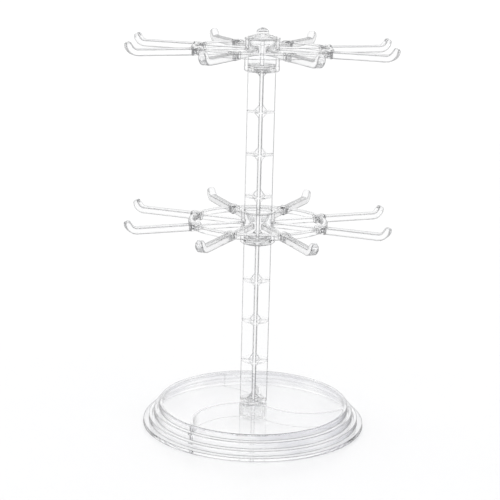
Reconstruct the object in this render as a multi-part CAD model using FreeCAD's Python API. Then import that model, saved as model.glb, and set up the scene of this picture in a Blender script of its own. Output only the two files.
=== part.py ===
import FreeCAD, Part
import math
import os

# Two-tier revolving counter rack for eyeglasses, moulded in clear plastic.
# Millimetres, +Z up. The origin is on the turning axis, at the underside of the base.

# stepped base
base_r = 95.0
base_top_z = 18.0
wall_t = 2.4
step_r = (94.6, 89.9, 85.4, 81.1)
step_z = (2.8, 7.2, 12.6, 18.0)
boss_r = 11.1
boss_bore_r = 8.7
boss_bottom_z = 2.9
plate_hole_r = 6.9
rib_t = 2.0
rib_bottom_z = 3.0
rib_count = 3
rib_start = (12.0, 317.0)
rib_middle = (54.0, 332.0)
rib_end = (77.4, 350.2)

# pivot between base and post
spindle_r = 6.6
bushing_bore_r = 6.65
bushing_bottom_z = 4.5
washer_r = 11.0
washer_t = 0.8
retainer_r = 8.2
retainer_t = 1.3
retainer_stem_r = 3.0
retainer_stem_h = 6.0
retainer_gap = 0.3

# post columns, a cross of four fins stiffened by discs
post_r = 11.6
fin_t = 2.5
disc_t = 1.2
end_disc_t = 1.3
bead_r = 5.6
bead_h = 6.4
post_foot_z = base_top_z + washer_t
tier_pitch = 143.8
lower_post_top_z = 161.4
web_t = 1.8
web_relief = 0.2
seat_ring_r = 8.0
bay = 35.5
first_disc_z = 55.4
post_offset_z = 143.3
spigot_h = 2.9
post_socket_r = 6.65

# tier: hub, eight spokes, ring and eight hook sockets
hub_bottom_z = 158.6
hub_top_z = 186.2
hub_r_bottom = 14.7
hub_r_top = 14.0
hub_lip_r = 14.6
hub_lip_h = 1.2
hub_bore_r = 11.9
hub_chamfer = 1.3
arm_count = 8
arm_offset = 22.5
arch_h = 1.0
spoke_w = 4.8
spoke_bottom_z = 173.4
spoke_h = 4.8
ring_r = 56.0
ring_w = 4.8
ring_bottom_z = 174.0
ring_h = 5.0
socket_in_r = 52.0
socket_out_r = 60.6
socket_w = 8.0
socket_bottom_z = 172.5
socket_h = 7.2
socket_round = 1.5

# hook: plug, straight arm and upturned tip
hook_z = 176.0
hook_w = 6.5
hook_h = 6.0
plug_w = 4.4
plug_h = 3.8
plug_l = 5.8
plug_gap = 0.05
bend_start_r = 106.4
bend_r = 7.2
bend_deg = 66.0
tip_l = 3.9
tip_w = 5.4
tip_h = 4.4
tip_round = 1.9

# cap: cross plug, flange, cone and knob
cap_flange_r = 11.75
cap_flange_t = 2.6
cap_cone_h = 2.6
knob_r = 5.3
knob_neck_r = 4.9
knob_top_z = 338.4
knob_edge_h = 1.6


def vec(x, y, z):
    return FreeCAD.Vector(x, y, z)


def polar(r, degrees, z=0.0):
    a = math.radians(degrees)
    return vec(r * math.cos(a), r * math.sin(a), z)


def line(a, b):
    return Part.LineSegment(a, b).toShape()


def arc(a, b, c):
    return Part.Arc(a, b, c).toShape()


def cylinder(r, z0, z1):
    return Part.makeCylinder(r, z1 - z0, vec(0, 0, z0))


def revolve(points):
    # points are (radius, height) pairs of a closed outline
    corners = [vec(r, 0, z) for r, z in points]
    face = Part.Face(Part.makePolygon(corners + corners[:1]))
    return face.revolve(vec(0, 0, 0), vec(0, 0, 1), 360)


def fuse(shapes):
    return shapes[0].fuse(shapes[1:]).removeSplitter()


def turned(shape, degrees):
    copy = shape.copy()
    copy.rotate(vec(0, 0, 0), vec(0, 0, 1), degrees)
    return copy


def lifted(shape, height):
    copy = shape.copy()
    copy.translate(vec(0, 0, height))
    return copy


def arc_band(start, middle, end, width):
    # a flat strip that follows the circle through three points
    circle = arc(start, middle, end).Curve
    centre = circle.Center
    rays = [(p - centre).normalize() for p in (start, middle, end)]
    outer = [centre + ray * (circle.Radius + width / 2) for ray in rays]
    inner = [centre + ray * (circle.Radius - width / 2) for ray in rays]
    wire = Part.Wire([arc(*outer), line(outer[2], inner[2]), arc(*reversed(inner)), line(inner[0], outer[0])])
    return Part.Face(wire)


def base_shell():
    outer = [(0, base_top_z)]
    for r, z in reversed(list(zip(step_r, step_z))):
        if outer[-1][0] > 0:
            outer.append((outer[-1][0], z))
        outer.append((r, z))
    outer.append((base_r, 0))
    inner = [(step_r[1] - wall_t, 0)]
    for r, z in zip(step_r[1:], step_z[1:]):
        inner.append((r - wall_t, z - wall_t))
        if r != step_r[-1]:
            inner.append((step_r[step_r.index(r) + 1] - wall_t, z - wall_t))
    inner.append((0, base_top_z - wall_t))
    shell = revolve(outer + inner)
    boss = cylinder(boss_r, boss_bottom_z, base_top_z - wall_t / 2)
    ribs = []
    for k in range(rib_count):
        turn = k * 360.0 / rib_count
        points = [polar(r, a + turn, rib_bottom_z) for r, a in (rib_start, rib_middle, rib_end)]
        strip = arc_band(points[0], points[1], points[2], rib_t)
        ribs.append(strip.extrude(vec(0, 0, base_top_z - wall_t / 2 - rib_bottom_z)))
    body = fuse([shell, boss] + ribs)
    body = body.cut(cylinder(boss_bore_r, 0, base_top_z - wall_t))
    return body.cut(cylinder(plate_hole_r, 0, base_top_z + 1))


def pivot_bushing():
    top = base_top_z - wall_t
    return cylinder(boss_bore_r, bushing_bottom_z, top).cut(cylinder(bushing_bore_r, 0, top + 1))


def thrust_washer():
    top = base_top_z + washer_t
    return cylinder(washer_r, base_top_z, top).cut(cylinder(plate_hole_r, base_top_z - 1, top + 1))


def spindle_bottom_z():
    return bushing_bottom_z - retainer_gap


def spindle_retainer():
    z = spindle_bottom_z()
    plate = cylinder(retainer_r, z - retainer_t, z)
    stem = cylinder(retainer_stem_r, z - retainer_t, z + retainer_stem_h)
    return fuse([plate, stem])


def cross_fins(foot, top):
    slab = Part.makeBox(fin_t, 2 * post_r, top - foot, vec(-fin_t / 2, -post_r, foot))
    return slab.fuse(turned(slab, 90)).common(cylinder(post_r, foot, top))


def bead(z, up):
    # cone that thickens the crossing of the fins where it meets a disc
    return Part.makeCone(bead_r, fin_t / 2, bead_h, vec(0, 0, z), vec(0, 0, up))


def post(foot, discs, top):
    parts = [cross_fins(foot, top), bead(foot + end_disc_t, 1), bead(top - end_disc_t, -1)]
    for z in discs:
        parts += [cylinder(post_r, z - disc_t / 2, z + disc_t / 2), bead(z, 1), bead(z, -1)]
    parts.append(cylinder(post_r, foot, foot + end_disc_t))
    parts.append(cylinder(post_r, top - end_disc_t, top))
    return fuse(parts).cut(cylinder(post_socket_r, top - end_disc_t, top + 1))


def post_lower():
    discs = [first_disc_z + k * bay for k in range(3)]
    body = post(post_foot_z, discs, lower_post_top_z)
    spindle = cylinder(spindle_r, spindle_bottom_z(), post_foot_z)
    pocket = cylinder(retainer_stem_r, spindle_bottom_z(), spindle_bottom_z() + retainer_stem_h)
    return fuse([body, spindle]).cut(pocket)


def post_upper():
    foot = lower_post_top_z + web_t
    discs = [first_disc_z + post_offset_z + k * bay for k in range(3)]
    body = post(foot, discs, lower_post_top_z + tier_pitch)
    return fuse([body, cylinder(spindle_r, foot - spigot_h, foot)])


def arched_section(width, height):
    # flat underside and straight sides under a shallow arch, centred on mid height
    r = width / 2
    top = height / 2
    points = [vec(0, -r, -top), vec(0, r, -top), vec(0, r, top - arch_h), vec(0, -r, top - arch_h)]
    edges = [line(points[0], points[1]), line(points[1], points[2])]
    edges += [arc(points[2], vec(0, 0, top), points[3]), line(points[3], points[0])]
    return Part.Wire(edges)


def rounded_block(x0, x1, width, z0, height, radius):
    block = Part.makeBox(x1 - x0, width, height, vec(x0, -width / 2, z0))
    along = [e for e in block.Edges if abs(e.tangentAt(0).x) > 0.9]
    return block.makeFillet(radius, along)


def tier():
    body = revolve([
        (0, hub_bottom_z), (hub_r_bottom - hub_chamfer, hub_bottom_z),
        (hub_r_bottom, hub_bottom_z + hub_chamfer), (hub_r_top, hub_top_z - hub_lip_h),
        (hub_lip_r, hub_top_z - hub_lip_h), (hub_lip_r, hub_top_z), (0, hub_top_z)])
    band = revolve([
        (ring_r - ring_w / 2, ring_bottom_z), (ring_r + ring_w / 2, ring_bottom_z),
        (ring_r + ring_w / 2, ring_bottom_z + ring_h - 1.2), (ring_r + ring_w / 2 - 1.2, ring_bottom_z + ring_h),
        (ring_r - ring_w / 2 + 1.2, ring_bottom_z + ring_h), (ring_r - ring_w / 2, ring_bottom_z + ring_h - 1.2)])
    parts = [body, band]
    inner = (hub_bore_r + hub_r_top) / 2
    spoke = Part.Face(arched_section(spoke_w, spoke_h)).extrude(vec(ring_r - inner, 0, 0))
    spoke.translate(vec(inner, 0, spoke_bottom_z + spoke_h / 2))
    socket = rounded_block(socket_in_r, socket_out_r, socket_w, socket_bottom_z, socket_h, socket_round)
    hole_w = plug_w + 2 * plug_gap
    hole_h = plug_h + 2 * plug_gap
    hole = Part.makeBox(plug_l + 1 + plug_gap, hole_w, hole_h,
                        vec(socket_out_r - plug_l - plug_gap, -hole_w / 2, hook_z - hole_h / 2))
    for k in range(arm_count):
        turn = arm_offset + k * 360.0 / arm_count
        parts.append(turned(spoke, turn))
        parts.append(turned(socket, turn))
    body = fuse(parts)
    web_z = lower_post_top_z
    # the posts bear on a narrow ring around the spigot, the rest of the web stands clear of them
    seat = cylinder(seat_ring_r, web_z, web_z + web_t)
    cuts = [cylinder(hub_bore_r, hub_bottom_z - 1, web_z + web_relief).cut(seat)]
    cuts.append(cylinder(hub_bore_r, web_z + web_t - web_relief, hub_top_z + 1).cut(seat))
    cuts.append(cylinder(post_socket_r, web_z - 1, web_z + web_t + 1))
    cuts += [turned(hole, arm_offset + k * 360.0 / arm_count) for k in range(arm_count)]
    return body.cut(cuts).removeSplitter()


def hook():
    face = Part.Face(arched_section(hook_w, hook_h))
    face.translate(vec(socket_out_r, 0, 0))
    arm = face.extrude(vec(bend_start_r - socket_out_r, 0, 0))
    face.translate(vec(bend_start_r - socket_out_r, 0, 0))
    bend = face.revolve(vec(bend_start_r, 0, bend_r), vec(0, -1, 0), bend_deg)
    rise = math.radians(bend_deg)
    start = vec(bend_start_r + bend_r * math.sin(rise), 0, bend_r * (1 - math.cos(rise)))
    end = start + vec(math.cos(rise), 0, math.sin(rise)) * tip_l
    wires = []
    for width, height, place in ((hook_w, hook_h, start), (tip_w, tip_h, end)):
        wire = arched_section(width, height)
        wire.rotate(vec(0, 0, 0), vec(0, -1, 0), bend_deg)
        wire.translate(place)
        wires.append(wire)
    tip = Part.makeLoft(wires, True, True)
    rim = [e for e in tip.Edges if min((v.Point - end).dot(end - start) for v in e.Vertexes) > -0.01 * tip_l]
    tip = tip.makeFillet(tip_round, rim)
    plug = Part.makeBox(plug_l + 0.5, plug_w, plug_h, vec(socket_out_r - plug_l, -plug_w / 2, -plug_h / 2))
    return lifted(fuse([arm, bend, tip, plug]), hook_z)


def top_cap():
    seat = lower_post_top_z + tier_pitch + web_t
    rim = hub_top_z + tier_pitch
    fins = cross_fins(seat + end_disc_t, rim - cap_flange_t + 1.0)
    foot = cylinder(post_r, seat, seat + end_disc_t)
    spigot = cylinder(spindle_r, seat - spigot_h, seat)
    low = rim - cap_flange_t + 1.0
    high = rim + 1.0
    head = revolve([
        (0, low), (cap_flange_r, low), (cap_flange_r, high),
        (knob_neck_r, high + cap_cone_h), (0, high + cap_cone_h)])
    neck = high + cap_cone_h
    dome_z = neck + knob_edge_h
    rise = knob_top_z - dome_z
    ball = (knob_r ** 2 + rise ** 2) / (2 * rise)
    half = math.asin(knob_r / ball) / 2
    crown = vec(0, 0, knob_top_z)
    middle = vec(ball * math.sin(half), 0, knob_top_z - ball + ball * math.cos(half))
    rim_point = vec(knob_r, 0, dome_z)
    edges = [line(vec(0, 0, neck - 0.5), vec(knob_neck_r, 0, neck - 0.5))]
    edges.append(line(vec(knob_neck_r, 0, neck - 0.5), vec(knob_neck_r, 0, neck)))
    edges.append(line(vec(knob_neck_r, 0, neck), rim_point))
    edges.append(arc(rim_point, middle, crown))
    edges.append(line(crown, vec(0, 0, neck - 0.5)))
    knob = Part.Face(Part.Wire(edges)).revolve(vec(0, 0, 0), vec(0, 0, 1), 360)
    return fuse([fins, foot, spigot, head, knob])


def build():
    nodes = {
        "base_shell": base_shell(),
        "pivot_bushing": pivot_bushing(),
        "thrust_washer": thrust_washer(),
        "spindle_retainer": spindle_retainer(),
        "post_lower": post_lower(),
        "post_upper": post_upper(),
        "top_cap": top_cap(),
    }
    ring = tier()
    arm = hook()
    for name, height in (("lower", 0.0), ("upper", tier_pitch)):
        nodes["tier_" + name] = lifted(ring, height)
        for k in range(arm_count):
            turn = arm_offset + k * 360.0 / arm_count
            nodes["hook_%s_%d" % (name, k + 1)] = turned(lifted(arm, height), turn)
    return nodes


os.makedirs("parts", exist_ok=True)
for node, shape in build().items():
    solid = shape.Solids[0]
    print(node, len(shape.Solids), shape.isValid(), round(solid.Volume, 1), solid.BoundBox)
    solid.exportStep("parts/" + node + ".step")
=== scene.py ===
# Clear two-tier revolving counter rack for eyeglasses, on a white table.
import math
import bpy
from mathutils import Matrix

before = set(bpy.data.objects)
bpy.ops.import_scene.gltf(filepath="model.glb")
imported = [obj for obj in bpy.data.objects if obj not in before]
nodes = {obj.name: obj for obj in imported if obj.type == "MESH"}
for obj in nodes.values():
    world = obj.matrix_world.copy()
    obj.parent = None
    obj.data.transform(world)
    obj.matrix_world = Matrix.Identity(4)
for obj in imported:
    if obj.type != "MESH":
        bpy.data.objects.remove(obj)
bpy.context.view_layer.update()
scene = bpy.context.scene
print("frame loaded:", len(nodes), "nodes")


# shader maths: wrap a socket, write the sum, get the Math nodes
class Value:
    def __init__(self, tree, socket):
        self.tree = tree
        self.socket = socket

    def maths(self, operation, other, swap=False):
        node = self.tree.nodes.new("ShaderNodeMath")
        node.operation = operation
        pair = (other, self) if swap else (self, other)
        for slot, item in zip(node.inputs, pair):
            plug(self.tree, slot, item)
        return Value(self.tree, node.outputs[0])

    def __add__(self, other):
        return self.maths("ADD", other)

    __radd__ = __add__

    def __sub__(self, other):
        return self.maths("SUBTRACT", other)

    def __rsub__(self, other):
        return self.maths("SUBTRACT", other, swap=True)

    def __mul__(self, other):
        return self.maths("MULTIPLY", other)

    __rmul__ = __mul__


# a wrapped socket or a socket is linked, and anything else is set on the slot itself
def plug(tree, slot, item):
    if isinstance(item, Value):
        item = item.socket
    if isinstance(item, bpy.types.NodeSocket):
        tree.links.new(item, slot)
    else:
        slot.default_value = item


class Shader:
    def __init__(self, name):
        self.material = bpy.data.materials.new(name)
        self.material.use_nodes = True
        self.tree = self.material.node_tree
        self.tree.nodes.clear()

    # one way in for every other node: type, settings, then sockets in order or by name
    def node(self, kind, settings=None, *ordered, **named):
        node = self.tree.nodes.new(kind)
        for key, item in (settings or {}).items():
            setattr(node, key, item)
        for slot, item in zip(node.inputs, ordered):
            plug(self.tree, slot, item)
        for key, item in named.items():
            plug(self.tree, node.inputs[key.replace("_", " ")], item)
        return node

    def value(self, node, output="Fac"):
        return Value(self.tree, node.outputs[output])

    def noise(self, place, scale, detail, roughness=0.5):
        return self.node("ShaderNodeTexNoise", Vector=place, Scale=scale, Detail=detail, Roughness=roughness)

    # 0 below low, 1 above high, soft in between
    def ramp(self, item, low, high):
        node = self.node("ShaderNodeMapRange", dict(interpolation_type="SMOOTHSTEP"),
                         Value=item, From_Min=low, From_Max=high)
        return self.value(node, "Result")

    def mix(self, factor, first, second):
        node = self.node("ShaderNodeMix", dict(data_type="RGBA"))
        for number, item in ((0, factor), (6, first), (7, second)):  # factor and the two colours of the RGBA mix
            plug(self.tree, node.inputs[number], item)
        return node.outputs[2]


def objectSpace(shader, stretch=(1.0, 1.0, 1.0)):
    coords = shader.node("ShaderNodeTexCoord")
    return shader.node("ShaderNodeMapping", Vector=coords.outputs["Object"], Scale=stretch).outputs["Vector"]


# metres; what differs from piece to piece is set again in the piece's own dictionary below
clearLook = dict(
    tint=(1.0, 1.0, 1.0, 1.0), shade=(0.985, 0.987, 0.99, 1.0), ior=1.49, alpha=1.0,
    absorb=(0.80, 0.81, 0.83, 1.0), density=1.2, stretch=(1.0, 1.0, 1.0),
    roughLow=0.006, roughSpread=0.02, grainRough=0.4, mottle=45.0, ripple=160.0, grain=2600.0,
    rippleHeight=0.01, grainHeight=0.002, bumpStrength=0.25, bumpDistance=0.002,
    # the painted shade at corners: how far it reaches, how strong it is outside, inside and on level faces
    edge=0.0007, edgeSamples=4, edgeLow=0.01, edgeHigh=0.10, edgeWeight=1.0, edgeInside=0.12,
    edgeLevel=0.8, levelGain=1.0,
    # the painted rim shade: a wall seen along its face is painted greyer
    rim=0.6, rimLevel=0.1, rimLow=0.5, rimHigh=0.95,
    # the two greys of the dark shader painted as shade at corners and rims
    paintedShadeDark=(0.07, 0.07, 0.075, 1.0), paintedShadeGrey=(0.14, 0.14, 0.145, 1.0), paintedShadeRough=0.4)


# painted reflections: soft grey patches on the upright steps, and none on the ribs inside them
def paintedReflections(shader, look, place, upright, colour):
    reflectionMask = shader.ramp(shader.value(shader.noise(place, look["patch"], 1.0)), look["patchLow"], look["patchHigh"])
    spot = shader.node("ShaderNodeSeparateXYZ", Vector=place)
    x, y = shader.value(spot, "X"), shader.value(spot, "Y")
    onSteps = (x * x + y * y).maths("GREATER_THAN", look["stepRadius"] ** 2)
    return shader.mix(reflectionMask * upright * onSteps, colour, look["reflectionGrey"])


# how much painted shade shows: a dark shader painted where the moulding turns a corner, and where a wall is seen
# along its face
def paintedShadeMask(shader, look, flat, flatness):
    rounded = shader.node("ShaderNodeBevel", dict(samples=look["edgeSamples"]), Radius=look["edge"])
    turn = shader.node("ShaderNodeVectorMath", dict(operation="DOT_PRODUCT"),
                       rounded.outputs["Normal"], flat.outputs["Normal"])
    cornerShade = shader.ramp(1.0 - shader.value(turn, "Value"), look["edgeLow"], look["edgeHigh"])
    facing = shader.node("ShaderNodeLayerWeight", Blend=0.5)
    rimShade = shader.ramp(shader.value(facing, "Facing"), look["rimLow"], look["rimHigh"])
    outside = 1.0 - shader.value(flat, "Backfacing")
    lying = shader.value(shader.node("ShaderNodeSeparateXYZ", Vector=rounded.outputs["Normal"]), "Z")
    level = (lying * lying * look["levelGain"]).maths("MINIMUM", 1.0) * (look["edgeLevel"] - 1.0) + 1.0
    side = outside * (look["edgeWeight"] - look["edgeInside"]) + look["edgeInside"]
    rimShadeShare = flatness * (look["rimLevel"] - 1.0) + 1.0
    return (cornerShade * level * side).maths("MAXIMUM", rimShade * rimShadeShare * outside * look["rim"])


# polished clear moulding: faint flow ripples, a little haze that comes and goes,
# and painted shade at its corners and rims: a dark shader mixed over the glass's own refraction
def clearPlastic(name, look):
    shader = Shader(name)
    place = objectSpace(shader, look["stretch"])
    cloudy = shader.value(shader.noise(place, look["mottle"], 3.0, 0.55))
    ripple = shader.value(shader.noise(place, look["ripple"], 1.5, 0.4))
    grain = shader.value(shader.noise(place, look["grain"], 2.0, 0.6))
    flat = shader.node("ShaderNodeNewGeometry")
    upward = shader.value(shader.node("ShaderNodeSeparateXYZ", Vector=flat.outputs["Normal"]), "Z")
    flatness = (upward * upward * look["levelGain"]).maths("MINIMUM", 1.0)
    colour = shader.mix(cloudy, look["tint"], look["shade"])
    # painted reflections as grey patches on the base's upright steps
    if "reflectionGrey" in look:
        colour = paintedReflections(shader, look, place, 1.0 - flatness, colour)
    rough = cloudy * look["roughSpread"] + grain * (look["roughSpread"] * look["grainRough"]) + look["roughLow"]
    height = ripple * look["rippleHeight"] + grain * look["grainHeight"]
    bump = shader.node("ShaderNodeBump", Height=height, Strength=look["bumpStrength"], Distance=look["bumpDistance"])
    clear = shader.node("ShaderNodeBsdfPrincipled", Base_Color=colour, Roughness=rough,
                        Normal=bump.outputs["Normal"], IOR=look["ior"], Transmission_Weight=1.0, Alpha=look["alpha"])
    # a dark shader painted as shade at corners and rims, mixed over the clear glass
    paintedShadeColour = shader.mix(cloudy, look["paintedShadeDark"], look["paintedShadeGrey"])
    paintedShade = shader.node("ShaderNodeBsdfPrincipled", Base_Color=paintedShadeColour, Roughness=rough + look["paintedShadeRough"])
    both = shader.node("ShaderNodeMixShader", None, paintedShadeMask(shader, look, flat, flatness),
                       clear.outputs["BSDF"], paintedShade.outputs["BSDF"])
    body = shader.node("ShaderNodeVolumeAbsorption", Color=look["absorb"], Density=look["density"])
    shader.node("ShaderNodeOutputMaterial", Surface=both.outputs["Shader"], Volume=body.outputs["Volume"])
    return shader.material


def dress(names, material):
    for name in names:
        piece = nodes[name]
        if not piece.material_slots:
            piece.data.materials.append(material)
        for slot in piece.material_slots:
            slot.material = material


# base: stepped dish with ribs under its plate
# the base's grey patch colour is a painted reflection on its upright steps
baseLook = dict(clearLook, mottle=22.0, ripple=70.0, edge=0.0013, edgeInside=0.0, levelGain=2.0,
                reflectionGrey=(0.80, 0.80, 0.83, 1.0), patch=16.0, patchLow=0.42, patchHigh=0.62, stepRadius=0.078)
dress(["base_shell"], clearPlastic("clearBase", baseLook))

# posts: crossed fins with thin discs, flow marks drawn out along the post
postLook = dict(clearLook, stretch=(1.0, 1.0, 0.35), edge=0.0014, edgeInside=0.04, edgeLevel=0.3, levelGain=4.0)
dress(["post_lower", "post_upper"], clearPlastic("clearPost", postLook))

# tiers: hub, spokes, ring and sockets in one moulding
tierLook = dict(clearLook, mottle=60.0, edge=0.0013, edgeInside=0.08, rim=0.8)
dress(["tier_lower", "tier_upper"], clearPlastic("clearTier", tierLook))

# hooks: straight arms with upturned tips
hookLook = dict(clearLook, mottle=80.0, ripple=220.0, edge=0.0019, edgeLevel=1.0, rim=0.8, rimLevel=0.8)
dress([name for name in nodes if name.startswith("hook_")], clearPlastic("clearHook", hookLook))

# cap
capLook = dict(clearLook, ripple=260.0)
dress(["top_cap"], clearPlastic("clearCap", capLook))

# pivot parts: natural, slightly milky
bearingLook = dict(clearLook, alpha=0.45, roughLow=0.04, roughSpread=0.06, edgeWeight=0.4, edgeInside=0.1, rim=0.3)
dress(["pivot_bushing", "thrust_washer", "spindle_retainer"], clearPlastic("bearingHaze", bearingLook))
print("clear mouldings dressed")


tableLook = dict(size=8.0, drop=0.0004, colour=(0.93, 0.93, 0.935, 1.0), shade=(0.90, 0.90, 0.905, 1.0),
                 mottle=6.0, rough=0.16, spread=0.08)


def whiteTable(look):
    mesh = bpy.data.meshes.new("tableTop")
    half = look["size"] / 2
    mesh.from_pydata([(-half, -half, 0), (half, -half, 0), (half, half, 0), (-half, half, 0)], [], [(0, 1, 2, 3)])
    table = bpy.data.objects.new("tableTop", mesh)
    scene.collection.objects.link(table)
    table.location.z = -look["drop"]
    shader = Shader("whiteLaminate")
    cloudy = shader.value(shader.noise(objectSpace(shader), look["mottle"], 3.0))
    surface = shader.node("ShaderNodeBsdfPrincipled", Base_Color=shader.mix(cloudy, look["colour"], look["shade"]),
                          Roughness=cloudy * look["spread"] + look["rough"])
    shader.node("ShaderNodeOutputMaterial", Surface=surface.outputs["BSDF"])
    table.data.materials.append(shader.material)


whiteTable(tableLook)
print("table laid")


# bounces are many because light crosses a dozen clear walls on its way through the base and the hubs
lightLook = dict(skyColour=(1.0, 1.0, 1.0, 1.0), skyStrength=1.08,
                 bounces=64, throughWalls=48, offWalls=48, throughHaze=32, glossBlur=0.0)


def studioSky(look):
    world = bpy.data.worlds.new("studioSky")
    scene.world = world
    world.use_nodes = True
    tree = world.node_tree
    tree.nodes.clear()
    background = tree.nodes.new("ShaderNodeBackground")
    plug(tree, background.inputs["Color"], look["skyColour"])
    plug(tree, background.inputs["Strength"], look["skyStrength"])
    output = tree.nodes.new("ShaderNodeOutputWorld")
    plug(tree, output.inputs["Surface"], background.outputs["Background"])
    scene.view_settings.view_transform = "Standard"
    scene.view_settings.look = "None"
    scene.cycles.blur_glossy = look["glossBlur"]
    scene.cycles.max_bounces = look["bounces"]
    scene.cycles.transmission_bounces = look["throughWalls"]
    scene.cycles.glossy_bounces = look["offWalls"]
    scene.cycles.transparent_max_bounces = look["throughHaze"]


studioSky(lightLook)
print("studio lit")


# metres, millimetres of lens and degrees
cameraLook = dict(place=(0.0027, -1.1415, 0.4298), lens=100.3, sensor=36.0, down=13.68, turn=0.44, tilt=1.42)


def placeCamera(look):
    data = bpy.data.cameras.new("camera")
    data.lens = look["lens"]
    data.sensor_width = look["sensor"]
    camera = bpy.data.objects.new("camera", data)
    scene.collection.objects.link(camera)
    turn = Matrix.Rotation(math.radians(look["turn"]), 4, "Z")
    pitch = Matrix.Rotation(math.radians(90 - look["down"]), 4, "X")
    tilt = Matrix.Rotation(math.radians(look["tilt"]), 4, "Z")
    camera.matrix_world = Matrix.Translation(look["place"]) @ turn @ pitch @ tilt
    scene.camera = camera


placeCamera(cameraLook)
print("camera set")
